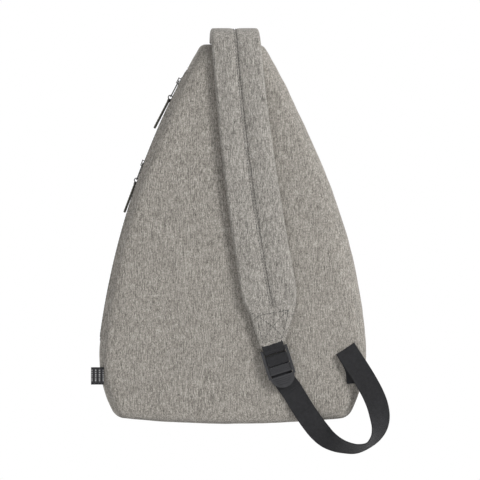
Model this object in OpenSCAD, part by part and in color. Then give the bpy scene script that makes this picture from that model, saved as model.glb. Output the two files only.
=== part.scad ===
// Teardrop sling bag, hanging by the arch of its padded strap.
// +Z is up, -Y is the side that lies on the wearer's back, +X is the webbing's side.
// The origin is the inner top of the strap's arch, where a hook would carry the bag.

/* [Bag body] */
// Height from the base to the crown
bag_h = 437; // [430:1:444]
// Half width at the hips, the widest line
hip_half_w = 153.3; // [151:0.1:156]
// Height of the hips above the base
hip_h = 78; // [74:1:82]
// Radius of the long side curves
side_r = 904; // [895:1:915]
// Radius of the hip curves
hip_r = 140; // [135:1:145]
// Radius of the bottom corners
corner_r = 17; // [15:1:19]
// Radius of the base's shallow curve
base_r = 1239; // [1200:1:1300]
// Radius of the crown's corners
crown_r = 9; // [8:1:10]
// Depth of the main compartment at the crown
crown_depth = 26; // [25:1:30]
// Slope of the front panel, which deepens the compartment downwards
front_tilt = 4.2; // [3.5:0.1:5]
// Thickness of the outer cloth
cloth = 1.2; // [1:0.1:1.4]
// Thickness of the back panel's foam
back_foam = 5; // [4:0.5:6]
// How far the back panel's seam lies inside the side gussets
seam_inset = 6; // [5:0.5:8]

/* [Front pocket] */
// Height of the pocket's top edge above the base
pocket_h = 332; // [328:1:336]
// Depth of the pocket at its top edge
pocket_top_depth = 18; // [17:1:20]
// Extra slope of the pocket's face
pocket_tilt = 2.4; // [2:0.1:3]

/* [Zips] */
// Width of the opening that each zip closes
zip_gap = 12; // [11:0.5:13]
// Middle of the main zip, forward of the compartment's back
main_zip_y = 12; // [11:0.5:13]
// Middle of the pocket's zip, forward of the front panel
pocket_zip_y = 9; // [8.5:0.5:9.5]
// Place of the main slider along the side curve, in degrees
main_slider_at = 27.3; // [26:0.1:27.5]
// Place of the pocket's slider along the side curve, in degrees
pocket_slider_at = 20.7; // [19:0.1:21]
// Length of each metal puller
puller_l = 21; // [19:1:24]
// Length of each pull cord
pull_cord_l = 35; // [32:1:40]
// Diameter of each pull cord
pull_cord_d = 3; // [2.8:0.1:3.2]

/* [Strap] */
// Width of the padded strap
strap_w = 60; // [56:1:62]
// Thickness of the padded strap
strap_t = 11; // [10:0.5:12]
// Inner radius of the arch over the crown
arch_r = 8; // [7:0.5:9]
// Length of the padded strap below the arch's top
strap_l = 327; // [315:1:330]
// Thickness of the sewn end below the padding
tab_t = 4; // [3.5:0.1:4.5]

/* [Webbing and ladder lock] */
// Width of the webbing
web_w = 25; // [24:0.5:25]
// Thickness of the webbing
web_t = 1.6; // [1.4:0.1:1.8]
// Width of the ladder lock
lock_w = 32; // [31:0.5:34]
// Lean of the ladder lock from straight down, in degrees
lock_lean = 17.7; // [15:0.1:20]

/* [Hidden] */

heather = [0.61, 0.59, 0.56];
heather_dark = [0.52, 0.50, 0.48];
foam_white = [0.86, 0.86, 0.84];
lining_grey = [0.33, 0.33, 0.34];
webbing_black = [0.17, 0.17, 0.18];
plastic_black = [0.12, 0.12, 0.13];
gunmetal = [0.36, 0.35, 0.34];
cord_olive = [0.24, 0.23, 0.20];

// Heights in the frame
crown_z = -arch_r;
base_z = crown_z - bag_h;
pocket_z = base_z + pocket_h;

// Depths in the frame
lining_t = 0.8;
inside_y = 0;
lining_y = inside_y - lining_t;
foam_y = lining_y - back_foam;
back_y = foam_y - cloth;
flange_y = inside_y - cloth;

// Centres of the outline's arcs, left side, and the angles where they meet
hip_turn = 7.4;
corner_turn = 26.7;
hip_c = [hip_r - hip_half_w, base_z + hip_h];
side_c = hip_c + (side_r - hip_r) * [cos(hip_turn), -sin(hip_turn)];
corner_c = hip_c - (hip_r - corner_r) * [cos(corner_turn), sin(corner_turn)];
base_turn = asin(-corner_c[0] / (base_r - corner_r));
base_c = corner_c + (base_r - corner_r) * [sin(base_turn), cos(base_turn)];
crown_turn = asin((crown_z - crown_r - side_c[1]) / (side_r - crown_r));
crown_c = side_c + (side_r - crown_r) * [-cos(crown_turn), sin(crown_turn)];
pocket_turn = asin((pocket_z - side_c[1]) / side_r);

// Steps of each arc
side_steps = 28;
tight_steps = 6;

// Zip, measured outwards from the gusset's face and across from the zip's middle
tape_w = 8.8;
tape_t = 1;
coil_in = 0.6;
coil_out = 2.8;
coil_rise = 0.2;
stop_l = 2;
slider_l = 11;
slider_w = 8;
wing_t = 1.2;
wing_rise = 0.5;
inner_wing_rise = -2.5;
flange_w = 0.9;
flange_rise = -0.9;
bridge_w = 0.6;
bridge_l = 3;
crown_w = 1.6;
crown_bar_rise = 3.9;
crown_bar_t = 1;
crown_half_l = 3.6;
pin_r = 0.7;
pin_rise = 2.9;
puller_w = 5;
puller_t = 1.2;
puller_arm_w = 1.1;
puller_eye_l = 6;
cord_hole_r = 1.3;
ring_r = 2.4;
ring_wire_r = 0.6;
ring_hang = 0.8;
zip_low = 7.6;
end_room = 0.9;
per_degree = side_r * PI / 180;

// Strap's middle line: a shallow curve that leans outwards on its way down
strap_x = 3.5;
strap_lean = 0.0735;
strap_bend = 0.00018;
strap_top_z = strap_t;
strap_y = -arch_r - strap_t;
hinge_d = strap_top_z - crown_z;
strap_steps = 14;
cover_t = 1;
stitch_w = 4;
arch_gap = 0.4;

// Ladder lock: bars run across, the lock hangs from its first bar
lock_pos = [48.4, -14.5, base_z + 85];
bar_r = 2.2;
rail_w = 3;
rail_t = 5.5;
rail_l = 34;
grip_from = 6.5;
grip_l = 9;
second_from = 18.3;
second_l = 9.3;
bar_t = 3;
tongue_from = 30.4;
tongue_t = 2;
bar_gap = 0.1;
tab_reach = -5.2;

// Adjuster webbing from behind the ladder lock, round its hanging loop, up to its fold and
// back to the seam: x, y, height above the base, and how far its face turns inwards
loop_route = [
    [58.2, -10.2, 53.8, 0], [63, -10.3, 47.5, 0], [68.5, -10.5, 39, 0], [76.5, -11, 26, 0],
    [84, -12, 14, 0], [92, -13.5, 2.5, 4], [99.5, -15, -7, 12], [108, -17, -15.5, 28],
    [117.5, -19, -21.5, 42], [128, -21, -25.5, 54], [138, -22, -27.6, 60], [147, -22.5, -27.2, 67],
    [155, -22, -24.5, 72], [161, -21.5, -19.5, 66], [165.8, -20.5, -12.5, 54], [168.8, -19.5, -4.5, 40],
    [169.8, -18.5, 4, 26], [169, -17.5, 13, 14], [166.6, -16.5, 23, 6], [162.2, -16, 34, 2],
    [157, -15.5, 44, 0], [150, -15, 56, 0], [143, -14.5, 67, 0], [135.5, -13.8, 78.5, 0],
    [132, -13, 84, 0], [130.6, -11.4, 86.2, 0], [131.2, -9.6, 85, 0], [133.2, -8.6, 81, 0],
    [137.5, -8.4, 74.5, 0], [141.5, -8.3, 66.5, 0], [144.4, -8.3, 47, 0]
];

// Webbing threaded through the lock: along the lock, and outwards from its middle
thread_route = [
    [27.6, -2.5], [22, -2.5], [18.6, -2.55], [17.4, -2], [16.95, -0.9], [16.9, 1], [16.2, 2.2],
    [14.8, 2.6], [11, 2.6], [7.2, 2.6], [5.9, 2.3], [5.4, 1.2], [5.3, -0.2], [5.3, -2], [6, -3.6],
    [8, -4.35], [14, -4.35], [20, -4.35], [27.6, -4.35]
];

// ---------- outline ----------

function arc(c, r, from, to, steps) =
    [for (i = [0 : steps]) let (a = from + (to - from) * i / steps) c + r * [-cos(a), sin(a)]];

function side_arc(inset, from, to) = arc(side_c, side_r - inset, from, to, side_steps);

function crown_path(inset, to) = concat(
    arc(crown_c, crown_r - inset, 90, crown_turn, tight_steps),
    arc(side_c, side_r - inset, crown_turn, to, 2)
);

function hip_path(inset) = concat(
    arc(hip_c, hip_r - inset, hip_turn, -corner_turn, 2 * tight_steps),
    arc(corner_c, corner_r - inset, -corner_turn, base_turn - 90, tight_steps),
    arc(base_c, base_r - inset, base_turn - 90, -90, 2 * tight_steps)
);

function reversed(list) = [for (i = [len(list) - 1 : -1 : 0]) list[i]];
function mirrored(list) = [for (p = reversed(list)) [-p[0], p[1]]];
function both_sides(list) = concat(list, mirrored(list));

// Drops points that repeat the one before them
function distinct(list) =
    [for (i = [0 : len(list) - 1]) if (i == 0 || norm(list[i] - list[i - 1]) > 0.01) list[i]];

function body_outline(inset) =
    distinct(both_sides(concat(crown_path(inset, crown_turn), side_arc(inset, crown_turn, hip_turn),
        hip_path(inset))));

function pocket_outline(inset) =
    distinct(both_sides(concat(side_arc(inset, pocket_turn, hip_turn), hip_path(inset))));

// Strip between two insets of one path
function band(outer, inner) = distinct(concat(outer, reversed(inner)));

module slab(points, from_y, to_y) {
    translate([0, to_y, 0])
        rotate([90, 0, 0])
            linear_extrude(to_y - from_y)
                polygon(points);
}

// Frame whose y = 0 is the inner face of the front panel
module front_frame() {
    translate([0, crown_depth, crown_z])
        rotate([front_tilt, 0, 0])
            translate([0, 0, -crown_z])
                children();
}

// Frame whose y = 0 is the inner face of the pocket's panel
module pocket_face_frame() {
    front_frame()
        translate([0, cloth + pocket_top_depth, pocket_z])
            rotate([pocket_tilt, 0, 0])
                translate([0, 0, -pocket_z])
                    children();
}

// Everything behind y = 0 of the frame it is placed in
module behind() {
    span = 1000;
    translate([-span / 2, -span, -span * 0.8])
        cube([span, span, span]);
}

// ---------- panels ----------

module back_panel_cover() {
    color(heather)
        slab(body_outline(seam_inset), back_y, foam_y);
}

module back_panel_foam() {
    color(foam_white)
        slab(body_outline(seam_inset), foam_y, lining_y);
}

module back_panel_lining() {
    color(lining_grey)
        slab(body_outline(seam_inset), lining_y, inside_y);
}

module front_panel() {
    color(heather)
        front_frame()
            slab(body_outline(0), 0, cloth);
}

module pocket_panel() {
    color(heather)
        pocket_face_frame()
            slab(pocket_outline(0), 0, cloth);
}

// ---------- gussets ----------

// Wall that follows a path, from one depth to the front panel, with its seam flange at the back
module body_gusset(outer, inner, flange, from_y) {
    most = 80;
    color(heather)
        intersection() {
            union() {
                slab(band(outer, inner), from_y, most);
                if (from_y == flange_y)
                    slab(band(outer, flange), flange_y, inside_y);
            }
            front_frame() behind();
        }
}

module gusset_top() {
    to = main_slider_at + end_room;
    body_gusset(
        both_sides_up(crown_path(0, to)), both_sides_up(crown_path(cloth, to)),
        both_sides_up(crown_path(seam_inset, to)), flange_y);
}

// A path that runs over the top, from the left side to the right
function both_sides_up(list) = concat(reversed(list), [for (p = list) [-p[0], p[1]]]);

module gusset_right() {
    from = main_slider_at + end_room;
    mirror([1, 0, 0])
        body_gusset(side_arc(0, from, zip_low), side_arc(cloth, from, zip_low),
            side_arc(seam_inset, from, zip_low), flange_y);
}

function low_path(inset) =
    both_sides(concat(arc(side_c, side_r - inset, zip_low, hip_turn, 1), hip_path(inset)));

module gusset_bottom() {
    body_gusset(low_path(0), low_path(cloth), low_path(seam_inset), flange_y);
}

module gusset_left_back() {
    from = main_slider_at + end_room;
    color(heather) {
        slab(band(side_arc(0, from, zip_low), side_arc(cloth, from, zip_low)),
            flange_y, main_zip_y - zip_gap / 2);
        slab(band(side_arc(0, from, zip_low), side_arc(seam_inset, from, zip_low)),
            flange_y, inside_y);
    }
}

module gusset_left_front() {
    from = main_slider_at + end_room;
    body_gusset(side_arc(0, from, zip_low), side_arc(cloth, from, zip_low), [],
        main_zip_y + zip_gap / 2);
}

// Wall of the pocket that follows a path, from one depth to the pocket's panel
module pocket_wall(outer, inner, from_y) {
    most = 60;
    color(heather_dark)
        intersection() {
            front_frame()
                slab(band(outer, inner), from_y, most);
            pocket_face_frame() behind();
        }
}

// Top of the pocket: a straight wall and the short turns down to the zip
module pocket_gusset_top() {
    edge = pocket_slider_at + end_room;
    outer = concat(reversed(arc(side_c, side_r, pocket_turn, edge, 2)),
        [for (p = arc(side_c, side_r, pocket_turn, edge, 2)) [-p[0], p[1]]]);
    inner_top = pocket_z - cloth;
    inner_turn = asin((inner_top - side_c[1]) / (side_r - cloth));
    inner = concat(reversed(arc(side_c, side_r - cloth, inner_turn, edge, 2)),
        [for (p = arc(side_c, side_r - cloth, inner_turn, edge, 2)) [-p[0], p[1]]]);
    pocket_wall(outer, inner, cloth);
}

module pocket_gusset_right() {
    from = pocket_slider_at + end_room;
    mirror([1, 0, 0])
        pocket_wall(side_arc(0, from, zip_low), side_arc(cloth, from, zip_low), cloth);
}

module pocket_gusset_bottom() {
    pocket_wall(low_path(0), low_path(cloth), cloth);
}

module pocket_gusset_left_back() {
    from = pocket_slider_at + end_room;
    color(heather_dark)
        front_frame()
            slab(band(side_arc(0, from, zip_low), side_arc(cloth, from, zip_low)),
                cloth, cloth + pocket_zip_y - zip_gap / 2);
}

module pocket_gusset_left_front() {
    from = pocket_slider_at + end_room;
    pocket_wall(side_arc(0, from, zip_low), side_arc(cloth, from, zip_low),
        cloth + pocket_zip_y + zip_gap / 2);
}

// ---------- zips ----------

// One strip of a zip, between two rises from the gusset's face
module zip_strip(from, low_rise, high_rise, from_y, to_y) {
    slab(band(side_arc(-high_rise, from, zip_low), side_arc(-low_rise, from, zip_low)), from_y, to_y);
}

module zip_tape(from, middle_y, side) {
    near = middle_y + side * 2 * coil_in;
    far = middle_y + side * tape_w;
    color(webbing_black)
        zip_strip(from, -cloth - tape_t, -cloth, min(near, far), max(near, far));
}

module zip_coil(from, middle_y, side) {
    near = middle_y + side * coil_in;
    far = middle_y + side * coil_out;
    color(webbing_black)
        zip_strip(from, -cloth, coil_rise, min(near, far), max(near, far));
}

// Places its children on the side curve: local -X points outwards and local Z up the curve
module at_track(angle, middle_y) {
    translate([side_c[0], middle_y, side_c[1]])
        rotate([0, angle, 0])
            translate([-side_r, 0, 0])
                children();
}

// A block between two rises, given across and along the zip
module block(low_rise, high_rise, width, from_l, to_l, middle = 0) {
    translate([-high_rise, middle - width / 2, from_l])
        cube([high_rise - low_rise, width, to_l - from_l]);
}

module zip_stop(angle, middle_y) {
    color(gunmetal)
        at_track(angle, middle_y)
            block(coil_rise, coil_rise + 0.8, 2 * coil_out, -stop_l / 2, stop_l / 2);
}

module zip_stops(slider_at, middle_y) {
    half_slider = (slider_l / 2 + stop_l / 2 + 0.4) / per_degree;
    zip_stop(slider_at + half_slider, middle_y);
    zip_stop(zip_low + stop_l / per_degree, middle_y);
}

// Slider: two wings joined by a bridge between the coils, with a crown over the puller's pin
module slider(angle, middle_y) {
    half = slider_l / 2;
    color(gunmetal)
        at_track(angle, middle_y) {
            block(wing_rise, wing_rise + wing_t, slider_w, -half, half);
            block(inner_wing_rise - wing_t, inner_wing_rise, slider_w, -half, half);
            block(inner_wing_rise, wing_rise, bridge_w, half - bridge_l, half);
            for (side = [-1, 1])
                block(flange_rise, wing_rise, flange_w, -half, half, side * (slider_w - flange_w) / 2);
            for (side = [-1, 1])
                block(wing_rise + wing_t, crown_bar_rise, crown_w,
                    side * (crown_half_l - 0.5) - 0.5, side * (crown_half_l - 0.5) + 0.5);
            block(crown_bar_rise, crown_bar_rise + crown_bar_t, crown_w, -crown_half_l, crown_half_l);
        }
}

// Puller: pin under the crown, two arms past it, then a plate with a hole for the ring
module puller(angle, middle_y) {
    hole_l = cord_hole_r + ring_wire_r + 0.1;
    color(gunmetal)
        at_track(angle, middle_y)
            difference() {
                union() {
                    translate([-pin_rise, 0, 0])
                        rotate([90, 0, 0])
                            cylinder(h = puller_w, r = pin_r, center = true, $fn = 32);
                    for (side = [-1, 1])
                        block(pin_rise - puller_t / 2, pin_rise + puller_t / 2, puller_arm_w,
                            -puller_eye_l, 0, side * (puller_w - puller_arm_w) / 2);
                    block(pin_rise - puller_t / 2, pin_rise + puller_t / 2, puller_w,
                        -puller_l, -puller_eye_l);
                }
                translate([-pin_rise, 0, -puller_l + hole_l])
                    rotate([0, 90, 0])
                        cylinder(h = 4 * puller_t, r = cord_hole_r, center = true, $fn = 32);
            }
}

// Ring through the puller's hole, with the crimp that holds the cord
module pull_ring(angle, middle_y) {
    ring_l = -puller_l + 0.4 - ring_hang;
    crimp_l = ring_l - ring_r;
    color(gunmetal)
        at_track(angle, middle_y) {
            translate([-pin_rise, 0, ring_l])
                rotate([90, 0, 0])
                    rotate_extrude($fn = 48)
                        translate([ring_r, 0])
                            circle(r = ring_wire_r, $fn = 24);
            translate([-pin_rise, 0, crimp_l - 3])
                cylinder(h = 3, r = pull_cord_d / 2 + 0.4, $fn = 32);
        }
}

module pull_cord(angle, middle_y) {
    end_l = -puller_l + 0.4 - ring_hang - ring_r - 3;
    color(cord_olive)
        at_track(angle, middle_y)
            translate([-pin_rise, 0, end_l - pull_cord_l])
                cylinder(h = pull_cord_l, r = pull_cord_d / 2, $fn = 24);
}

main_from = main_slider_at + end_room;
pocket_from = pocket_slider_at + end_room;
pocket_middle = cloth + pocket_zip_y;

module main_zip_tape_back() { zip_tape(main_from, main_zip_y, -1); }
module main_zip_tape_front() { zip_tape(main_from, main_zip_y, 1); }
module main_zip_coil_back() { zip_coil(main_from, main_zip_y, -1); }
module main_zip_coil_front() { zip_coil(main_from, main_zip_y, 1); }
module main_zip_stops() { zip_stops(main_slider_at, main_zip_y); }
module main_slider() { slider(main_slider_at, main_zip_y); }
module main_puller() { puller(main_slider_at, main_zip_y); }
module main_pull_ring() { pull_ring(main_slider_at, main_zip_y); }
module main_pull_cord() { pull_cord(main_slider_at, main_zip_y); }

module pocket_zip_tape_back() { front_frame() zip_tape(pocket_from, pocket_middle, -1); }
module pocket_zip_tape_front() { front_frame() zip_tape(pocket_from, pocket_middle, 1); }
module pocket_zip_coil_back() { front_frame() zip_coil(pocket_from, pocket_middle, -1); }
module pocket_zip_coil_front() { front_frame() zip_coil(pocket_from, pocket_middle, 1); }
module pocket_zip_stops() { front_frame() zip_stops(pocket_slider_at, pocket_middle); }
module pocket_slider() { front_frame() slider(pocket_slider_at, pocket_middle); }
module pocket_puller() { front_frame() puller(pocket_slider_at, pocket_middle); }
module pocket_pull_ring() { front_frame() pull_ring(pocket_slider_at, pocket_middle); }
module pocket_pull_cord() { front_frame() pull_cord(pocket_slider_at, pocket_middle); }

// ---------- strap ----------

function strap_mid(d) = [strap_x + strap_lean * d + strap_bend * d * d, strap_top_z - d];
function strap_slope(d) = atan(strap_lean + 2 * strap_bend * d);
function strap_point(d, across) = strap_mid(d) + across * [cos(strap_slope(d)), sin(strap_slope(d))];

// Strip of the strap between two distances across it
function strap_strip(from_d, to_d, left, right) = let (step = (to_d - from_d) / strap_steps) concat(
    [for (i = [0 : strap_steps]) strap_point(from_d + step * i, left)],
    [for (i = [strap_steps : -1 : 0]) strap_point(from_d + step * i, right)]
);

// Arch over the crown: it carries the bag, and its front leg is sewn to the crown
module strap_arch() {
    mid_x = strap_mid(hinge_d)[0];
    color(heather)
        translate([mid_x - strap_w / 2, 0, crown_z])
            rotate([90, 0, 90])
                linear_extrude(strap_w)
                    difference() {
                        circle(r = arch_r + strap_t, $fn = 96);
                        circle(r = arch_r, $fn = 96);
                        translate([-50, -100])
                            square([100, 100]);
                    }
}

module strap_cover() {
    from = hinge_d - 4;
    color(heather)
        difference() {
            slab(strap_strip(from, strap_l, -strap_w / 2, strap_w / 2), strap_y, -arch_r);
            for (side = [-1, 1])
                strap_channel(side);
            translate([-strap_w, -2 * strap_t - arch_r, crown_z - arch_gap])
                cube([3 * strap_w, 3 * strap_t, 2 * strap_t]);
        }
}

// One of the two sewn channels that hold the padding
module strap_channel(side) {
    near = side * stitch_w / 2;
    far = side * (strap_w / 2 - cover_t);
    slab(strap_strip(hinge_d + 5, strap_l - cover_t, min(near, far), max(near, far)),
        strap_y + cover_t, -arch_r - cover_t);
}

module strap_padding() {
    color(foam_white)
        for (side = [-1, 1])
            strap_channel(side);
}

function lock_side(across, along) =
    [lock_pos[0], lock_pos[2]] + across * [cos(lock_lean), sin(lock_lean)]
        + along * [sin(lock_lean), -cos(lock_lean)];

module strap_end_tab() {
    color(heather)
        slab([
            strap_point(strap_l, -strap_w / 2 + 2), strap_point(strap_l, strap_w / 2 - 2),
            lock_side(web_w / 2 + 2, tab_reach), lock_side(-web_w / 2 - 2, tab_reach)
        ], lock_pos[1] - tab_t / 2, lock_pos[1] + tab_t / 2);
}

// ---------- ladder lock ----------

// Frame of the ladder lock: X across, Y through it, -Z along it from its first bar
module lock_frame() {
    translate(lock_pos)
        rotate([0, -lock_lean, 0])
            children();
}

// Short webbing sewn to the strap's end, folded round the lock's first bar
module buckle_webbing() {
    in_r = bar_r + bar_gap;
    out_r = in_r + web_t;
    color(webbing_black)
        lock_frame()
            difference() {
                union() {
                    rotate([0, 90, 0])
                        cylinder(h = web_w, r = out_r, center = true, $fn = 48);
                    translate([-web_w / 2, -web_t, 0])
                        cube([web_w, 2 * web_t, -tab_reach]);
                }
                rotate([0, 90, 0])
                    cylinder(h = web_w + 2, r = in_r, center = true, $fn = 48);
            }
}

// Lock: two rails, the bar it hangs from, two grip bars and the thumb tongue
module ladder_lock() {
    color(plastic_black)
        lock_frame() {
            rotate([0, 90, 0])
                cylinder(h = lock_w - rail_w, r = bar_r, center = true, $fn = 48);
            for (side = [-1, 1])
                translate([side * (lock_w - rail_w) / 2 - rail_w / 2, -rail_t / 2, -rail_l + 2.5])
                    cube([rail_w, rail_t, rail_l]);
            lock_bar(grip_from, grip_l);
            lock_bar(second_from, second_l);
            lock_tongue();
        }
}

module lock_bar(from, length) {
    translate([-(lock_w - rail_w) / 2, -bar_t / 2, -from - length])
        cube([lock_w - rail_w, bar_t, length]);
}

// Half-round thumb tongue below the bars
module lock_tongue() {
    reach = 14;
    flat_w = lock_w - rail_w;
    translate([0, -rail_t / 2, -tongue_from])
        rotate([-90, 0, 0])
            linear_extrude(tongue_t)
                intersection() {
                    round_end(reach, flat_w / 2);
                    translate([-flat_w / 2, 0])
                        square([flat_w, reach]);
                }
}

// Arc of a circle that is as wide as the lock and as long as the tongue
module round_end(reach, half_w) {
    r = (reach * reach + half_w * half_w) / (2 * reach);
    translate([0, reach - r])
        circle(r = r, $fn = 96);
}

// ---------- webbing ----------

function unit(v) = v / norm(v);
function route_ahead(route, i) =
    unit(route[min(i + 1, len(route) - 1)] - route[max(i - 1, 0)]);

// Closed ribbon through points, given the direction across it at each point
module ribbon(points, across, width, thick) {
    last = len(points) - 1;
    rings = [for (i = [0 : last])
        let (
            side = across[i] * width / 2,
            up = unit(cross(across[i], route_ahead(points, i))) * thick / 2
        )
        each [points[i] - side - up, points[i] + side - up, points[i] + side + up, points[i] - side + up]
    ];
    walls = [for (i = [0 : last - 1], k = [0 : 3])
        let (a = 4 * i + k, b = 4 * i + (k + 1) % 4)
        each [[a, b, b + 4], [a, b + 4, a + 4]]
    ];
    caps = [[3, 2, 1, 0], [for (k = [0 : 3]) 4 * last + k]];
    polyhedron(rings, concat(walls, caps), convexity = 8);
}

// Smooth curve through the points of a route
function spline(p, i, t) =
    let (
        a = p[max(i - 1, 0)], b = p[i], c = p[i + 1], d = p[min(i + 2, len(p) - 1)]
    )
    b + 0.5 * t * (c - a + t * (2 * a - 5 * b + 4 * c - d + t * (3 * (b - c) + d - a)));

function smooth(route, steps) = concat(
    [for (i = [0 : len(route) - 2], k = [0 : steps - 1]) spline(route, i, k / steps)],
    [route[len(route) - 1]]
);

// Direction across the webbing: square to its run, turned about it by the last value
function across_at(points, i, turn) =
    let (
        ahead = route_ahead(points, i),
        flat = unit([ahead[2], 0, -ahead[0]]),
        deep = unit(cross(ahead, flat))
    )
    abs(ahead[1]) > 0.93 ? last_flat(points, i) : flat * cos(turn) + deep * sin(turn);

// Where the webbing folds straight through the depth it keeps the fold line's direction
function last_flat(points, i) = let (ahead = unit(points[i] - points[i - 4])) unit([ahead[2], 0, -ahead[0]]);

module adjuster_webbing() {
    curve = smooth(loop_route, 3);
    points = [for (p = curve) [p[0], p[1], base_z + p[2]]];
    across = [for (i = [0 : len(points) - 1]) across_at(points, i, curve[i][3])];
    color(webbing_black)
        ribbon(points, across, web_w, web_t);
}

module threaded_webbing() {
    curve = smooth(thread_route, 3);
    points = [for (p = curve) [0, -p[1], -p[0]]];
    across = [for (p = points) [1, 0, 0]];
    color(webbing_black)
        lock_frame()
            ribbon(points, across, web_w, web_t);
}

// ---------- label ----------

// Folded woven label sewn into the left seam
module side_label() {
    label_w = 14.8;
    label_h = 20;
    label_t = 1.2;
    label_x = -162.5;
    label_h0 = 45;
    color(plastic_black)
        translate([label_x, flange_y - label_t, base_z + label_h0])
            cube([label_w, label_t, label_h]);
}

back_panel_cover();
back_panel_foam();
back_panel_lining();
front_panel();
gusset_top();
gusset_right();
gusset_bottom();
gusset_left_back();
gusset_left_front();
main_zip_tape_back();
main_zip_tape_front();
main_zip_coil_back();
main_zip_coil_front();
main_zip_stops();
main_slider();
main_puller();
main_pull_ring();
main_pull_cord();
pocket_panel();
pocket_gusset_top();
pocket_gusset_right();
pocket_gusset_bottom();
pocket_gusset_left_back();
pocket_gusset_left_front();
pocket_zip_tape_back();
pocket_zip_tape_front();
pocket_zip_coil_back();
pocket_zip_coil_front();
pocket_zip_stops();
pocket_slider();
pocket_puller();
pocket_pull_ring();
pocket_pull_cord();
strap_arch();
strap_cover();
strap_padding();
strap_end_tab();
buckle_webbing();
ladder_lock();
threaded_webbing();
adjuster_webbing();
side_label();
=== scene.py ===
import math

import bmesh
import bpy
from mathutils import Matrix, Vector, kdtree, noise


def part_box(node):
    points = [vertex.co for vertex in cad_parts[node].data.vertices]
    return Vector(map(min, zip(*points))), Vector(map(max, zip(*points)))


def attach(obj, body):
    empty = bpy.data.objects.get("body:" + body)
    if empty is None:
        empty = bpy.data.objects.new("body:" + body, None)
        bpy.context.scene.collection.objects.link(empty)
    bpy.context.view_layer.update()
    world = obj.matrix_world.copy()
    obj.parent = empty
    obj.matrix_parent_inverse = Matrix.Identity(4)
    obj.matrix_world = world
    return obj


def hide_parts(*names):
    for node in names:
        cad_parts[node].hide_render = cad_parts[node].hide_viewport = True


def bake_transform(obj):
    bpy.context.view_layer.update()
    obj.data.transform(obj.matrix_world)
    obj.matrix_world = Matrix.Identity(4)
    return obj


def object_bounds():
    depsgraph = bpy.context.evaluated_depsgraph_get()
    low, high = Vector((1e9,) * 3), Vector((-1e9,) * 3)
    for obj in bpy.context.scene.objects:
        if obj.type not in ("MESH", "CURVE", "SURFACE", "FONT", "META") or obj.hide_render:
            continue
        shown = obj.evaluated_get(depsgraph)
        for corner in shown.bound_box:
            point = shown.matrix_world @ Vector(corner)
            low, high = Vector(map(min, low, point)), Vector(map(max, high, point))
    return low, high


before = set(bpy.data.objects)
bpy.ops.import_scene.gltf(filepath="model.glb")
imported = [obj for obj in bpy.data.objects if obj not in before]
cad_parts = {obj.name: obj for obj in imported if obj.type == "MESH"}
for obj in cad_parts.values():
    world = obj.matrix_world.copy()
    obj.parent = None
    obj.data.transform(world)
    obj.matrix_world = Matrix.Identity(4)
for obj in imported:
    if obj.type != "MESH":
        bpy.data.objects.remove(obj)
cad_low, cad_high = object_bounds()

MM = 0.001

# ---------- the bag's design sizes, in millimetres, as the CAD model has them ----------

CROWN_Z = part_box("gusset_top")[1][2] / MM
BASE_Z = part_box("gusset_bottom")[0][2] / MM + 0.5
SIDE_R, HIP_R, CORNER_R, BASE_R, CROWN_R = 904, 140, 17, 1239, 9
HIP_TURN, CORNER_TURN = 7.4, 26.7
HIP_HALF_W, HIP_H = 153.3, 78
SEAM_INSET = 6
CROWN_DEPTH, FRONT_TILT = 26, 4.2
CLOTH = 1.2
POCKET_H, POCKET_TOP_DEPTH, POCKET_TILT = 332, 18, 2.4
MAIN_ZIP_Y, POCKET_ZIP_Y = 12, CLOTH + 9
MAIN_SLIDER_AT, POCKET_SLIDER_AT, ZIP_LOW = 27.3, 20.7, 7.6
ZIP_END_ROOM = 0.9
ARCH_R, STRAP_W, STRAP_T, STRAP_L = 8, 60, 11, 327
STRAP_X, STRAP_LEAN, STRAP_BEND = 3.5, 0.0735, 0.00018
LOCK_POS = Vector((48.4, -14.5, BASE_Z + 85))
LOCK_LEAN = math.radians(17.7)
WEB_W, WEB_T = 25, 1.6


def turned(degrees):
    a = math.radians(degrees)
    return Vector((-math.cos(a), math.sin(a)))


HIP_C = Vector((HIP_R - HIP_HALF_W, BASE_Z + HIP_H))
SIDE_C = HIP_C - (SIDE_R - HIP_R) * turned(HIP_TURN)
CORNER_C = HIP_C + (HIP_R - CORNER_R) * turned(-CORNER_TURN)
BASE_TURN = math.degrees(math.asin(-CORNER_C.x / (BASE_R - CORNER_R)))
BASE_C = CORNER_C + (BASE_R - CORNER_R) * Vector(
    (math.sin(math.radians(BASE_TURN)), math.cos(math.radians(BASE_TURN))))
CROWN_TURN = math.degrees(math.asin((CROWN_Z - CROWN_R - SIDE_C.y) / (SIDE_R - CROWN_R)))
CROWN_C = SIDE_C + (SIDE_R - CROWN_R) * turned(CROWN_TURN)
POCKET_TURN = math.degrees(math.asin((BASE_Z + POCKET_H - SIDE_C.y) / SIDE_R))


# ---------- small helpers ----------

def smoothstep(low, high, x):
    t = min(max((x - low) / (high - low), 0), 1)
    return t * t * (3 - 2 * t)


def lerp(a, b, t):
    return a + (b - a) * t


def ruffle(p, size, seed=0.0):
    """Smooth noise from -1 to 1 over a length in millimetres."""
    return noise.noise(Vector(p) / size + Vector((seed, seed * 1.7, -seed)))


def give(obj, *materials):
    obj.data.materials.clear()
    for material in materials:
        obj.data.materials.append(material)


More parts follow.
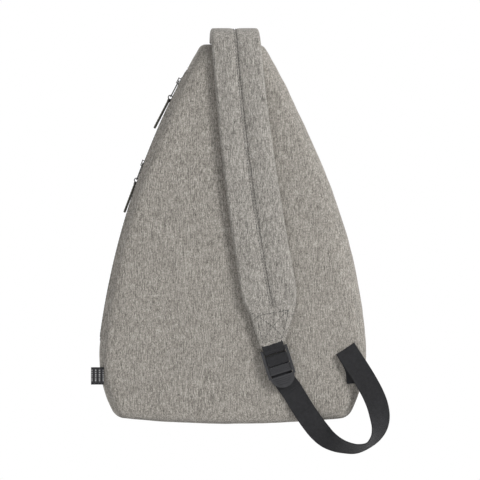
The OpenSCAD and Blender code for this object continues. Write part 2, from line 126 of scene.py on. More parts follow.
def new_mesh(name, points, faces, *materials, face_materials=None):
    """A mesh object from points in millimetres."""
    mesh = bpy.data.meshes.new(name)
    mesh.from_pydata([Vector(p) * MM for p in points], [], faces)
    if face_materials:
        mesh.polygons.foreach_set("material_index", face_materials)
    mesh.polygons.foreach_set("use_smooth", [True] * len(mesh.polygons))
    bm = bmesh.new()
    bm.from_mesh(mesh)
    bmesh.ops.remove_doubles(bm, verts=bm.verts, dist=0.02 * MM)
    bmesh.ops.dissolve_degenerate(bm, edges=bm.edges, dist=0.005 * MM)
    bmesh.ops.recalc_face_normals(bm, faces=bm.faces)
    bm.to_mesh(mesh)
    bm.free()
    obj = bpy.data.objects.new(name, mesh)
    bpy.context.scene.collection.objects.link(obj)
    give(obj, *materials)
    return obj


def thicken(obj, thickness, offset=-1):
    solid = obj.modifiers.new("thickness", "SOLIDIFY")
    solid.thickness = thickness * MM
    solid.offset = offset


def grid_faces(rows, columns, closed_rows=False, closed_columns=False, start=0):
    faces = []
    for i in range(rows if closed_rows else rows - 1):
        for j in range(columns if closed_columns else columns - 1):
            a = start + i * columns + j
            b = start + i * columns + (j + 1) % columns
            c = start + ((i + 1) % rows) * columns + (j + 1) % columns
            d = start + ((i + 1) % rows) * columns + j
            faces.append((a, b, c, d))
    return faces


def tube_faces(rows, sides, start=0):
    """Quads round a tube and a cap on each end."""
    last = start + (rows - 1) * sides
    return grid_faces(rows, sides, closed_columns=True, start=start) + [
        tuple(range(start + sides - 1, start - 1, -1)), tuple(range(last, last + sides))]


def nearest(points):
    """A search tree over points, which finds a point's place, index and distance."""
    tree = kdtree.KDTree(len(points))
    for k, p in enumerate(points):
        tree.insert(p, k)
    tree.balance()
    return tree


# ---------- outline ----------

def arc(centre, r, start, end, steps):
    return [centre + r * turned(start + (end - start) * i / steps) for i in range(steps + 1)]


def low_arcs(inset):
    return (arc(HIP_C, HIP_R - inset, HIP_TURN, -CORNER_TURN, 24)
            + arc(CORNER_C, CORNER_R - inset, -CORNER_TURN, BASE_TURN - 90, 12)
            + arc(BASE_C, BASE_R - inset, BASE_TURN - 90, -90, 30))


def closed_loop(left):
    """Left half, from the top down, and its mirror image, as one closed loop."""
    loop = left + [Vector((-p.x, p.y)) for p in reversed(left)]
    return [p for p, q in zip(loop, loop[1:] + loop[:1]) if (p - q).length > 0.01]


def resample(loop, count):
    """Evenly spaced points round a closed loop."""
    lengths = [(b - a).length for a, b in zip(loop, loop[1:] + loop[:1])]
    total = sum(lengths)
    out, i, run = [], 0, 0.0
    for k in range(count):
        want = total * k / count
        while run + lengths[i] < want:
            run += lengths[i]
            i += 1
        t = (want - run) / lengths[i]
        out.append(loop[i].lerp(loop[(i + 1) % len(loop)], t))
    return out


def swollen(loop, side, low, high):
    """The loop with one side pushed out a little, as stuffing does to it."""
    out = []
    for p in loop:
        t = (p.y - (BASE_Z + low)) / (high - low)
        push = side * math.sin(math.pi * t) ** 1.3 if 0 < t < 1 and p.x > 20 else 0
        out.append(Vector((p.x + push, p.y)))
    return out


def body_loop(count):
    left = [Vector((0, CROWN_Z))] + arc(CROWN_C, CROWN_R, 90, CROWN_TURN, 8)
    left += arc(SIDE_C, SIDE_R, CROWN_TURN, HIP_TURN, 90) + low_arcs(0)
    return resample(swollen(closed_loop(left), 4.4, 40, 360), count)


def pocket_loop(count):
    top = BASE_Z + POCKET_H
    edge = SIDE_C + SIDE_R * turned(POCKET_TURN)
    round_r = 12
    down = SIDE_C + SIDE_R * turned(POCKET_TURN - round_r / SIDE_R * 57.3)
    left = [Vector((0, top)), Vector((edge.x / 2, top))]
    inward = Vector((edge.x + round_r, top))
    left += [bezier(inward, edge, down, i / 8) for i in range(9)]
    left += arc(SIDE_C, SIDE_R, POCKET_TURN - round_r / SIDE_R * 57.3, HIP_TURN, 60) + low_arcs(0)
    return resample(swollen(closed_loop(left), 3.0, 40, 360), count)


def bezier(a, b, c, t):
    return a * (1 - t) ** 2 + b * 2 * t * (1 - t) + c * t ** 2


def outward(loop):
    """Unit normals that point out of a closed loop."""
    normals = []
    for i in range(len(loop)):
        along = loop[(i + 1) % len(loop)] - loop[i - 1]
        normals.append(Vector((along.y, -along.x)).normalized() * -1)
    middle = sum(loop, Vector((0, 0))) / len(loop)
    if (loop[0] - middle).dot(normals[0]) < 0:
        normals = [-n for n in normals]
    return normals


def track_angle(p):
    """Place along the side curve, in degrees, or None off the left side."""
    if p.x > -20:
        return None
    return math.degrees(math.atan2(p.y - SIDE_C.y, SIDE_C.x - p.x))


# ---------- frames of the tilted panels ----------

FRONT = (Matrix.Translation((0, CROWN_DEPTH, CROWN_Z))
         @ Matrix.Rotation(math.radians(FRONT_TILT), 4, "X")
         @ Matrix.Translation((0, 0, -CROWN_Z)))
POCKET_FACE = (FRONT @ Matrix.Translation((0, CLOTH + POCKET_TOP_DEPTH, BASE_Z + POCKET_H))
               @ Matrix.Rotation(math.radians(POCKET_TILT), 4, "X")
               @ Matrix.Translation((0, 0, -(BASE_Z + POCKET_H))))
FLAT = Matrix.Identity(4)


def front_depth(z):
    return CROWN_DEPTH + (CROWN_Z - z) * math.tan(math.radians(FRONT_TILT))


def pocket_depth(z):
    return CLOTH + POCKET_TOP_DEPTH + (BASE_Z + POCKET_H - z) * math.tan(math.radians(POCKET_TILT))


# ---------- materials ----------

class Nodes:
    """A short way to write a node material."""

    def __init__(self, name):
        self.material = bpy.data.materials.new(name)
        self.material.use_nodes = True
        self.tree = self.material.node_tree
        self.shader = self.tree.nodes["Principled BSDF"]
        self.place = self.tree.nodes.new("ShaderNodeTexCoord").outputs["Object"]

    def link(self, a, b):
        self.tree.links.new(a, b)

    def feed(self, value, socket, colour=False):
        """Links another node's output to a socket, or sets the socket to a number or a colour."""
        if hasattr(value, "is_linked"):
            self.link(value, socket)
        else:
            socket.default_value = (*value, 1) if colour else value

    def scaled(self, scale):
        node = self.tree.nodes.new("ShaderNodeMapping")
        node.inputs["Scale"].default_value = scale
        self.link(self.place, node.inputs["Vector"])
        return node.outputs[0]

    def noise(self, scale, detail=3, rough=0.6, distortion=0.0):
        node = self.tree.nodes.new("ShaderNodeTexNoise")
        node.inputs["Scale"].default_value = 1
        node.inputs["Detail"].default_value = detail
        node.inputs["Roughness"].default_value = rough
        node.inputs["Distortion"].default_value = distortion
        self.link(self.scaled(scale), node.inputs["Vector"])
        return node.outputs["Fac"]

    def wave(self, scale, direction, distortion):
        node = self.tree.nodes.new("ShaderNodeTexWave")
        node.bands_direction = direction
        node.inputs["Scale"].default_value = 1
        node.inputs["Distortion"].default_value = distortion
        node.inputs["Detail"].default_value = 2
        self.link(self.scaled(scale), node.inputs["Vector"])
        return node.outputs["Fac"]

    def ramp(self, value, *stops):
        node = self.tree.nodes.new("ShaderNodeValToRGB")
        self.link(value, node.inputs[0])
        elements = node.color_ramp.elements
        while len(elements) < len(stops):
            elements.new(0.5)
        for element, (at, colour) in zip(elements, stops):
            element.position = at
            element.color = (*colour, 1) if hasattr(colour, "__len__") else (colour,) * 3 + (1,)
        return node.outputs[0]

    def mix(self, amount, a, b, kind="MIX"):
        node = self.tree.nodes.new("ShaderNodeMix")
        node.data_type = "RGBA"
        node.blend_type = kind
        self.feed(amount, node.inputs[0])
        self.feed(a, node.inputs[6], colour=True)
        self.feed(b, node.inputs[7], colour=True)
        return node.outputs[2]

    def math(self, kind, a, b):
        node = self.tree.nodes.new("ShaderNodeMath")
        node.operation = kind
        self.feed(a, node.inputs[0])
        self.feed(b, node.inputs[1])
        return node.outputs[0]

    def bump(self, height, distance, strength):
        node = self.tree.nodes.new("ShaderNodeBump")
        node.inputs["Distance"].default_value = distance * MM
        node.inputs["Strength"].default_value = strength
        self.link(height, node.inputs["Height"])
        self.link(node.outputs[0], self.shader.inputs["Normal"])

    def finish(self, roughness, **sockets):
        self.feed(roughness, self.shader.inputs["Roughness"])
        for name, value in sockets.items():
            self.shader.inputs[name.replace("_", " ")].default_value = value
        return self.material

    def colour(self, value):
        self.link(value, self.shader.inputs["Base Color"])


def heather_cloth(name, light, middle, dark):
    """Melange polyester: vertical light and dark slubs over a fine plain weave."""
    n = Nodes(name)
    long_slub = n.noise((850, 850, 120), 3, 0.66, 0.2)
    short_slub = n.noise((1900, 1900, 480), 3, 0.7, 0.2)
    weft = n.noise((300, 300, 1900), 3, 0.7, 0.3)
    patch = n.noise((55, 55, 30), 3, 0.6)
    slub = n.math("ADD", n.math("MULTIPLY", long_slub, 0.42), n.math("MULTIPLY", short_slub, 0.58))
    dim = tuple(lerp(a, b, 0.72) for a, b in zip(dark, middle))
    pale = tuple(lerp(a, b, 0.5) for a, b in zip(middle, light))
    base = n.ramp(slub, (0.40, dark), (0.475, dim), (0.51, middle), (0.56, pale), (0.63, light))
    cross = n.ramp(weft, (0.36, 0.62), (0.5, 1.0), (0.64, 1.3))
    mottled = n.mix(0.55, base, cross, "MULTIPLY")
    cloud = n.ramp(patch, (0.3, 0.92), (0.7, 1.06))
    n.colour(n.mix(0.8, mottled, cloud, "MULTIPLY"))
    warp = n.wave((900, 900, 0), "X", 1.2)
    woof = n.wave((0, 0, 900), "Z", 1.2)
    weave = n.math("MULTIPLY", warp, woof)
    height = n.math("ADD", weave, n.math("MULTIPLY", slub, 2.2))
    n.bump(height, 0.25, 0.8)
    return n.finish(0.88, Sheen_Weight=0.12, Sheen_Roughness=0.5, Specular_IOR_Level=0.2)


def webbing_cloth(name):
    """Black polypropylene webbing: fine ribs with a faint grey bloom."""
    n = Nodes(name)
    rib = n.wave((1150, 500, 1150), "DIAGONAL", 0.6)
    counter = n.wave((1150, 500, -1150), "DIAGONAL", 0.6)
    weave = n.math("MULTIPLY", rib, counter)
    bloom = n.noise((260, 260, 260), 4, 0.65)
    wear = n.ramp(bloom, (0.35, (0.0085, 0.0085, 0.010)), (0.65, (0.0165, 0.0165, 0.019)))
    thread = n.ramp(weave, (0.2, 0.75), (0.8, 1.25))
    n.colour(n.mix(0.7, wear, thread, "MULTIPLY"))
    n.bump(weave, 0.25, 0.8)
    return n.finish(0.66, Sheen_Weight=0.06, Sheen_Roughness=0.4, Specular_IOR_Level=0.35)


def moulded_plastic(name):
    n = Nodes(name)
    grain = n.noise((1800, 1800, 1800), 2, 0.5)
    scuff = n.noise((160, 160, 160), 5, 0.7)
    n.colour(n.ramp(scuff, (0.35, (0.010, 0.010, 0.012)), (0.7, (0.018, 0.018, 0.021))))
    n.bump(grain, 0.05, 0.35)
    rough = n.ramp(scuff, (0.3, 0.34), (0.7, 0.5))
    return n.finish(rough, Specular_IOR_Level=0.55)


def plated_metal(name):
    n = Nodes(name)
    scuff = n.noise((420, 420, 420), 5, 0.7)
    n.colour(n.ramp(scuff, (0.35, (0.035, 0.034, 0.032)), (0.68, (0.09, 0.086, 0.081))))
    n.bump(n.noise((2600, 2600, 2600), 2, 0.5), 0.03, 0.4)
    return n.finish(n.ramp(scuff, (0.3, 0.34), (0.7, 0.5)), Metallic=0.9)


def twisted_thread(name, colour, frequency):
    n = Nodes(name)
    strand = n.wave((frequency, frequency, frequency), "DIAGONAL", 0.4)
    fuzz = n.noise((2400, 2400, 2400), 3, 0.6)
    dark = tuple(c * 0.55 for c in colour)
    lay = n.ramp(strand, (0.2, dark), (0.8, colour))
    n.colour(n.mix(0.5, lay, n.ramp(fuzz, (0.3, 0.8), (0.7, 1.2)), "MULTIPLY"))
    n.bump(strand, 0.15, 0.8)
    return n.finish(0.8, Sheen_Weight=0.2)


def tape_cloth(name):
    n = Nodes(name)
    rib = n.wave((0, 1400, 0), "Y", 0.3)
    n.colour(n.ramp(rib, (0.2, (0.030, 0.030, 0.030)), (0.8, (0.055, 0.054, 0.052))))
    n.bump(rib, 0.12, 0.7)
    return n.finish(0.8, Sheen_Weight=0.15)


def label_cloth(name):
    """Woven label: black satin with three broken grey stripes, nothing to read."""
    n = Nodes(name)
    low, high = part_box("side_label")
    stripes = n.wave((71, 0, 0), "X", 0)
    dashes = n.noise((0, 0, 900), 1, 0.5)
    thread = n.wave((1600, 0, 1600), "DIAGONAL", 0.3)
    broken = n.ramp(dashes, (0.46, 0.0), (0.52, 1.0))
    on = n.math("MULTIPLY", n.ramp(stripes, (0.62, 0.0), (0.8, 1.0)), broken)
    ends = n.tree.nodes.new("ShaderNodeSeparateXYZ")
    n.link(n.place, ends.inputs[0])
    middle_z = (low[2] + high[2]) / 2
    away = n.math("ABSOLUTE", n.math("SUBTRACT", ends.outputs["Z"], middle_z), 0)
    inside = n.math("LESS_THAN", away, 0.0072)
    bars = n.mix(n.math("MULTIPLY", on, inside), (0.010, 0.010, 0.012), (0.30, 0.30, 0.30))
    n.colour(n.mix(0.5, bars, n.ramp(thread, (0.2, 0.7), (0.8, 1.15)), "MULTIPLY"))
    n.bump(thread, 0.1, 0.6)
    return n.finish(0.65, Sheen_Weight=0.05, Specular_IOR_Level=0.3)


def plain(name, colour, roughness):
    n = Nodes(name)
    cells = n.noise((900, 900, 900), 3, 0.6)
    n.colour(n.ramp(cells, (0.3, tuple(c * 0.85 for c in colour)), (0.7, colour)))
    n.bump(cells, 0.1, 0.5)
    return n.finish(roughness)


HEATHER = heather_cloth("heather", (0.52, 0.49, 0.445), (0.305, 0.284, 0.252), (0.105, 0.097, 0.085))
HEATHER_STRAP = heather_cloth("heather_strap", (0.52, 0.495, 0.455), (0.305, 0.288, 0.26),
                              (0.105, 0.098, 0.088))
WEBBING = webbing_cloth("webbing")
PLASTIC = moulded_plastic("lock_plastic")
METAL = plated_metal("zip_metal")
TAPE = tape_cloth("zip_tape")
COIL = plain("zip_coil", (0.045, 0.045, 0.045), 0.4)
CORD = twisted_thread("pull_cord", (0.10, 0.095, 0.075), 900)
THREAD = twisted_thread("stitch_thread", (0.07, 0.066, 0.06), 2400)
LABEL = label_cloth("label")


# ---------- cloth panels ----------

LOOP_COUNT = 420


def even(points, count):
    """A polyline's points, spaced evenly."""
    run = [0.0]
    for a, b in zip(points, points[1:]):
        run.append(run[-1] + (b - a).length)
    out, k = [], 0
    for i in range(count + 1):
        want = run[-1] * i / count
        while k < len(points) - 2 and run[k + 1] < want:
            k += 1
        out.append(points[k].lerp(points[k + 1], (want - run[k]) / max(run[k + 1] - run[k], 1e-9)))
    return out


def quarter(loop, start, end):
    """The part of a closed loop that runs forwards from one index to another."""
    return [loop[k % len(loop)] for k in range(start, end + 1 if end > start else end + len(loop) + 1)]


def back_seam(normal):
    """How far the back seam lies inside the outline: least along the base."""
    return SEAM_INSET - 4.2 * smoothstep(0.75, 0.97, -normal.y)


PANEL_CORNERS = tuple(Vector(way) for way in ((-0.5, 0.866), (-0.574, -0.819), (0.574, -0.819), (0.5, 0.866)))


def panel(name, loop, inset, place, depth, columns=96, rows=136):
    """One sheet of even quads inside its seam. depth(x, z, edge) is its local y."""
    rim = [p - n * (inset(n) if callable(inset) else inset) for p, n in zip(loop, outward(loop))]
    top_left, low_left, low_right, top_right = (
        max(range(len(rim)), key=lambda k: rim[k].dot(way)) for way in PANEL_CORNERS)
    left = even(quarter(rim, top_left, low_left), rows)
    low = even(quarter(rim, low_left, low_right), columns)
    right = even(quarter(rim, low_right, top_right), rows)[::-1]
    top = even(quarter(rim, top_right, top_left), columns)[::-1]
    seam = nearest([Vector((p.x, 0, p.y)) for p in resample(rim, 1600)])
    points = []
    for j in range(rows + 1):
        v = j / rows
        for i in range(columns + 1):
            u = i / columns
            p = left[j] * (1 - u) + right[j] * u + top[i] * (1 - v) + low[i] * v
            p -= top[0] * (1 - u) * (1 - v) + top[-1] * u * (1 - v) + low[0] * (1 - u) * v + low[-1] * u * v
            border = i in (0, columns) or j in (0, rows)
            away = 0.0 if border else seam.find(Vector((p.x, 0, p.y)))[2]
            points.append(place @ Vector((p.x, depth(p.x, p.y, away), p.y)))
    return new_mesh(name, points, grid_faces(rows + 1, columns + 1), HEATHER)


SIM_FRAMES, SIM_SLACK = 18, 0.012


def inflate(obj, held, pressure, cap):
    """Cloth simulation with pressure from inside. held(co) is how firmly a point is sewn down, 0 to 1.
    No point moves further than cap, in millimetres."""
    rest = [v.co.copy() for v in obj.data.vertices]
    group = obj.vertex_groups.new(name="sewn")
    for k, co in enumerate(rest):
        weight = held(co / MM)
        if weight > 0:
            group.add([k], min(weight, 1), "REPLACE")
    cloth = obj.modifiers.new("cloth", "CLOTH")
    settings = cloth.settings
    settings.quality = 7
    settings.mass = 0.2
    settings.tension_stiffness = settings.compression_stiffness = 12
    settings.shear_stiffness = 4
    settings.bending_stiffness = 0.35
    settings.shrink_min = -SIM_SLACK
    settings.use_pressure = True
    settings.uniform_pressure_force = pressure
    settings.vertex_group_mass = "sewn"
    settings.effector_weights.gravity = 0
    cloth.collision_settings.use_collision = False
    cloth.point_cache.frame_start, cloth.point_cache.frame_end = 1, SIM_FRAMES
    scene = bpy.context.scene
    for frame_number in range(1, SIM_FRAMES + 1):
        scene.frame_set(frame_number)
    shaped = obj.evaluated_get(bpy.context.evaluated_depsgraph_get())
    new = [v.co.copy() for v in shaped.data.vertices]
    obj.modifiers.remove(cloth)
    for v, old, co in zip(obj.data.vertices, rest, new):
        moved = co - old
        reach = moved.length / MM
        v.co = old + moved * (cap * math.tanh(reach / cap) / reach if reach > 1e-4 else 1)
    obj.data.update()
    obj.vertex_groups.remove(group)
    scene.frame_set(1)


def smoother(obj):
    subsurf = obj.modifiers.new("smooth", "SUBSURF")
    subsurf.levels = subsurf.render_levels = 1


def back_depth(x, z, edge):
    """Foam-backed panel: it rises from its seam and lies almost flat, with faint ripples."""
    rise = 1 - math.exp(-(edge / 4.2) ** 1.15)
    pucker = 0.35 * ruffle((x, 0, z), 9, 3) * math.exp(-edge / 14)
    swell = 0.35 * ruffle((x, 0, z), 70, 1) + 0.12 * ruffle((x, 0, z), 22, 5)
    return -2.4 - 4.7 * rise + (swell - 0.1) * rise + pucker * rise + tuck(x, z)


def tuck(x, z):
    """Short pulled crease beside the webbing's fold."""
    top, low = Vector((145.0, BASE_Z + 114)), Vector((138.6, BASE_Z + 95))
    along = (low - top).normalized()
    t = (Vector((x, z)) - top).dot(along)
    off = (Vector((x, z)) - top).dot(Vector((-along.y, along.x)))
    t = t / (low - top).length
    off += 1.2 * math.sin(math.pi * t)
    return 2.2 * math.exp(-(off / 1.1) ** 2) * smoothstep(-0.15, 0.2, t) * smoothstep(1.25, 0.8, t)


def front_depth_local(x, z, edge):
    rise = 1 - math.exp(-edge / 14)
    return -0.8 + 2.6 * rise + 0.6 * ruffle((x, 10, z), 60, 2) * rise


def pocket_depth_local(x, z, edge):
    rise = 1 - math.exp(-edge / 22)
    pucker = 0.5 * ruffle((x, 20, z), 12, 7) * math.exp(-edge / 20)
    swell = 1.5 * ruffle((x, 20, z), 95, 4) + 0.5 * ruffle((x, 20, z), 38, 9)
    return -2.0 + 6.5 * rise + (swell + pucker) * rise


BODY_LOOP = body_loop(LOOP_COUNT)
POCKET_LOOP = pocket_loop(LOOP_COUNT)

back_panel = panel("back_panel", BODY_LOOP, back_seam, FLAT, back_depth)
thicken(back_panel, CLOTH, 1)
front_panel = panel("front_panel", BODY_LOOP, 2, FRONT, front_depth_local)
pocket_panel = panel("pocket_panel", POCKET_LOOP, 3.5, POCKET_FACE, pocket_depth_local, 64, 84)
pocket_rim = nearest([POCKET_FACE @ Vector((p.x, 0, p.y)) for p in POCKET_LOOP])
facing = sum((f.normal.y * f.area for f in pocket_panel.data.polygons))
inflate(pocket_panel, lambda co: 1 - smoothstep(5.5, 9, pocket_rim.find(co)[2]),
        math.copysign(2.2, facing), 7)
smoother(pocket_panel)


# ---------- gussets ----------

ZIP_SINK, LIP_H, LIP_AT, LIP_W = 2.3, 1.7, 7.4, 1.5
REST_SINK = 0.6


def zip_fade(angle, zip_from):
    return 1 - smoothstep(zip_from - 0.05, zip_from + 0.15, angle)


def zip_channel(angle, across, zip_from):
    """How far the gusset sinks at the zip, from 0 to 1, at a distance across it."""
    if angle is None:
        return 0.0
    along = smoothstep(ZIP_LOW - 0.15, ZIP_LOW + 0.05, angle) * zip_fade(angle, zip_from)
    return along * (1 - smoothstep(5.2, 6.4, abs(across)))


def pull_rest(angle, across, zip_from):
    """Flattened strip, from 0 to 1, where the ring lies past the zip's low end."""
    if angle is None:
        return 0.0
    along = smoothstep(ZIP_LOW - 3.4, ZIP_LOW - 2.6, angle) * zip_fade(angle, zip_from)
    return along * (1 - smoothstep(2.5, 7, abs(across)))


def gusset(name, loop, place, start_y, end_depth, zip_y, zip_from, back_inset, front_inset, puff):
    """Wall round a loop from its back seam to its front seam, rolled at both, with the zip's channel."""
    normals = outward(loop)
    before = [i / 12 for i in range(12)]
    within = [i / 32 for i in range(33)]
    after = [i / 14 for i in range(1, 15)]
    points, materials = [], []
    columns = len(before) + len(within) + len(after)
    for p, n in zip(loop, normals):
        angle = track_angle(p)
        end_y = end_depth(p.y)
        low, high = zip_y - 8, min(zip_y + 8, end_y - 1)
        ys = [lerp(start_y, low, t) for t in before] + [lerp(low, high, t) for t in within]
        ys += [lerp(high, end_y, t) for t in after]
        for y in ys:
            back = max(y - start_y, 0)
            front = max(end_y - y, 0)
            rim = back_inset(n) if callable(back_inset) else back_inset
            inset = rim * math.exp(-(back / 4.2) ** 1.3) + front_inset * math.exp(-(front / 5) ** 1.3)
            belly = math.sin(math.pi * min(max((y - start_y) / (end_y - start_y), 0), 1))
            wave = ruffle((p.x, y, p.y), 34, 6) * 0.7 + ruffle((p.x, y * 0.4, p.y), 13, 8) * 0.35
            channel = zip_channel(angle, y - zip_y, zip_from)
            calm = 1 - smoothstep(0, 0.6, channel) if channel else 1
            near_zip = 1 - zip_channel(angle, (y - zip_y) * 0.6, zip_from)
            rest = pull_rest(angle, y - zip_y, zip_from)
            lip = LIP_H * math.exp(-((abs(y - zip_y) - LIP_AT) / LIP_W) ** 2)
            lip *= zip_channel(angle, 0, zip_from)
            out = (puff * belly + wave * belly) * min(calm, near_zip, 1 - rest)
            out += lip - inset - ZIP_SINK * channel - REST_SINK * rest
            q = p + n * out
            points.append(place @ Vector((q.x, y, q.y)))
    faces = grid_faces(len(loop), columns, closed_rows=True)
    for i, p in enumerate(loop):
        angle = track_angle(p)
        for j in range(columns - 1):
            low = len(before) + 6 <= j <= len(before) + 25
            materials.append(1 if low and zip_channel(angle, 0, zip_from) > 0.6 else 0)
    return new_mesh(name, points, faces, HEATHER, TAPE, face_materials=materials)


body_gusset = gusset("body_gusset", BODY_LOOP, FLAT, -2.4, front_depth, MAIN_ZIP_Y,
                     MAIN_SLIDER_AT + ZIP_END_ROOM, back_seam, 2, 0.6)
pocket_gusset = gusset("pocket_gusset", POCKET_LOOP, FRONT, CLOTH - 0.4, pocket_depth, POCKET_ZIP_Y,
                       POCKET_SLIDER_AT + ZIP_END_ROOM, 1.5, 3.5, 1.0)

for piece, nodes in (
        (back_panel, ("back_panel_cover", "back_panel_foam", "back_panel_lining")),
        (front_panel, ("front_panel",)),
        (pocket_panel, ("pocket_panel",)),
        (body_gusset, ("gusset_top", "gusset_right", "gusset_bottom", "gusset_left_back",
                       "gusset_left_front", "main_zip_tape_back", "main_zip_tape_front")),
        (pocket_gusset, ("pocket_gusset_top", "pocket_gusset_right", "pocket_gusset_bottom",
                         "pocket_gusset_left_back", "pocket_gusset_left_front",
                         "pocket_zip_tape_back", "pocket_zip_tape_front"))):
    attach(piece, "bag")
    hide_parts(*nodes)


# ---------- tubes and ribbons ----------

def sweep(points, frames, section):
    """Points and faces of a section carried along a path. frames are (across, up) pairs."""
    verts = []
    for p, (across, up) in zip(points, frames):
        verts += [p + across * a + up * b for a, b in section]
    return verts, tube_faces(len(points), len(section))


def add_swept(verts, faces, points, frames, section):
    """A swept piece added to a mesh that holds many of them."""
    faces += tube_faces(len(points), len(section), len(verts))
    verts += sweep(points, frames, section)[0]


def heading(points, i):
    """The direction of a path at one of its points."""
    return (points[min(i + 1, len(points) - 1)] - points[max(i - 1, 0)]).normalized()


def frames_across(points, across):
    """(across, up) pairs along a path that keeps one direction across it."""
    return [(across, across.cross(heading(points, i)).normalized()) for i in range(len(points))]


def circle_section(r, sides):
    turns = [2 * math.pi * k / sides for k in range(sides)]
    return [(r * math.cos(a), r * math.sin(a)) for a in turns]


def spline(points, steps):
    """A smooth curve through points, with any number of coordinates."""
    out = []
    last = len(points) - 1
    for i in range(last):
        a, b = points[max(i - 1, 0)], points[i]
        c, d = points[i + 1], points[min(i + 2, last)]
        for k in range(steps):
            t = k / steps
            out.append(tuple(
                q + 0.5 * t * (r - p + t * (2 * p - 5 * q + 4 * r - s + t * (3 * (q - r) + s - p)))
                for p, q, r, s in zip(a, b, c, d)))
    out.append(tuple(points[last]))
    return out


STITCH_L, STITCH_GAP = 2.6, 1.0


def stitches(name, runs, thread_r=0.36):
    """Rows of sewn stitches. Each run is a list of (point, normal)."""
    verts, faces = [], []
    for run in runs:
        travelled, on = 0.0, []
        for (p, n), (q, _) in zip(run, run[1:]):
            on.append((travelled, p, n))
            travelled += (q - p).length
        on.append((travelled, run[-1][0], run[-1][1]))
        place = 0.0
        while place + STITCH_L < travelled:
            add_stitch(verts, faces, at_length(on, place), at_length(on, place + STITCH_L), thread_r)
            place += STITCH_L + STITCH_GAP
    return new_mesh(name, verts, faces, THREAD)


def at_length(on, want):
    for (a, p, n), (b, q, m) in zip(on, on[1:]):
        if want <= b:
            t = (want - a) / max(b - a, 1e-6)
            return p.lerp(q, t), n.lerp(m, t).normalized()
    return on[-1][1], on[-1][2]


def add_stitch(verts, faces, start, end, r):
    """One thread: it rises out of the cloth and dives back in."""
    (p, n), (q, m) = start, end
    side = (q - p).cross(n).normalized()
    base = len(verts)
    rings, sides = 5, 6
    for i in range(rings):
        t = i / (rings - 1)
        swell = math.sin(math.pi * (0.12 + 0.76 * t))
        centre = p.lerp(q, t) + n.lerp(m, t) * (r * 1.1 * swell - r * 0.35)
        for k in range(sides):
            a = 2 * math.pi * k / sides
            verts.append(centre + (side * math.cos(a) + n * math.sin(a)) * r * (0.55 + 0.45 * swell))
    faces += tube_faces(rings, sides, base)


# ---------- padded strap ----------

HALF_W = STRAP_W / 2


def half_width(d):
    """The strap widens slowly downwards and rounds off at its sewn end."""
    widest = lerp(28.4, 32.2, smoothstep(-20, 320, d))
    return widest - 4.6 * smoothstep(STRAP_L - 30, STRAP_L + 2, d) ** 1.5


ARCH_MID_R = ARCH_R + STRAP_T / 2


def strap_x(d):
    return STRAP_X + STRAP_LEAN * d + STRAP_BEND * d * d


def strap_slope(d):
    return math.atan(STRAP_LEAN + 2 * STRAP_BEND * d)


def strap_frame(d):
    """Middle, across and outward directions at a distance below the arch's top, and over it where d < 19."""
    hinge = ARCH_R + STRAP_T
    if d >= hinge:
        a = strap_slope(d)
        return (Vector((strap_x(d), -ARCH_MID_R, STRAP_T - d)), Vector((math.cos(a), 0, math.sin(a))),
                Vector((0, -1, 0)))
    turn = (hinge - d) / ARCH_MID_R
    lean = strap_slope(hinge) * max(1 - turn / 1.2, 0)
    up = Vector((0, -math.cos(turn), math.sin(turn)))
    middle = Vector((strap_x(hinge) - 3.0 * math.sin(min(turn, math.pi) / 2), 0, CROWN_Z)) + up * ARCH_MID_R
    ahead = Vector((0, math.sin(turn), math.cos(turn)))
    across = (Vector((1, 0, 0)) * math.cos(lean) + ahead * math.sin(lean)).normalized()
    return middle, across, up


def strap_puff(d, a):
    """Half thickness of the padded strap at a distance across it, on a scale where its edge is at HALF_W."""
    lobe = abs(abs(a) - 15.6) / 14.9
    full = max(1 - lobe ** 5.0, 0) ** 0.5
    seam = 0.62 + 0.38 * full
    edge = smoothstep(HALF_W + 0.2, HALF_W - 2.6, abs(a)) ** 0.5
    end = smoothstep(STRAP_L + 2, STRAP_L - 12, d)
    root = smoothstep(-26, -14, d)
    return STRAP_T / 2 * max(seam * edge, 0.1) * lerp(0.38, 1, end) * lerp(0.6, 1, root)


def strap_front(d, a):
    """A point on the strap's outer face and the outward direction there."""
    middle, across, up = strap_frame(d)
    swell = strap_puff(d, a)
    crease = 0.55 * ruffle((a, d * 0.55, 0), 15, 11) + 0.35 * ruffle((a * 1.6, d, 3), 7.5, 12)
    tug = 0.25 * math.sin(d * 2 * math.pi / 7.2 + a * 0.1) * math.exp(-abs(a) / 4.5)
    fold = -0.9 * math.exp(-((d - 142 - (a - 14) * 0.55) / 2.6) ** 2)
    fold *= smoothstep(3, 8, a) * smoothstep(26, 18, a)
    edge = smoothstep(HALF_W, HALF_W - 4, abs(a))
    bend = smoothstep(10, 40, d)
    wide = half_width(d) / HALF_W
    return middle + across * a * wide + up * (swell + (crease * bend + tug + fold * bend) * edge), up


def strap_back(d, a):
    middle, across, up = strap_frame(d)
    ripple = 0.3 * ruffle((a, d * 0.6, 9), 17, 13)
    edge = smoothstep(HALF_W, HALF_W - 4, abs(a))
    squeeze = 1.0 if d >= ARCH_R + STRAP_T else 0.92
    wide = half_width(d) / HALF_W
    return middle + across * a * wide - up * (strap_puff(d, a) * 0.93 * squeeze + ripple * edge * 0.5)


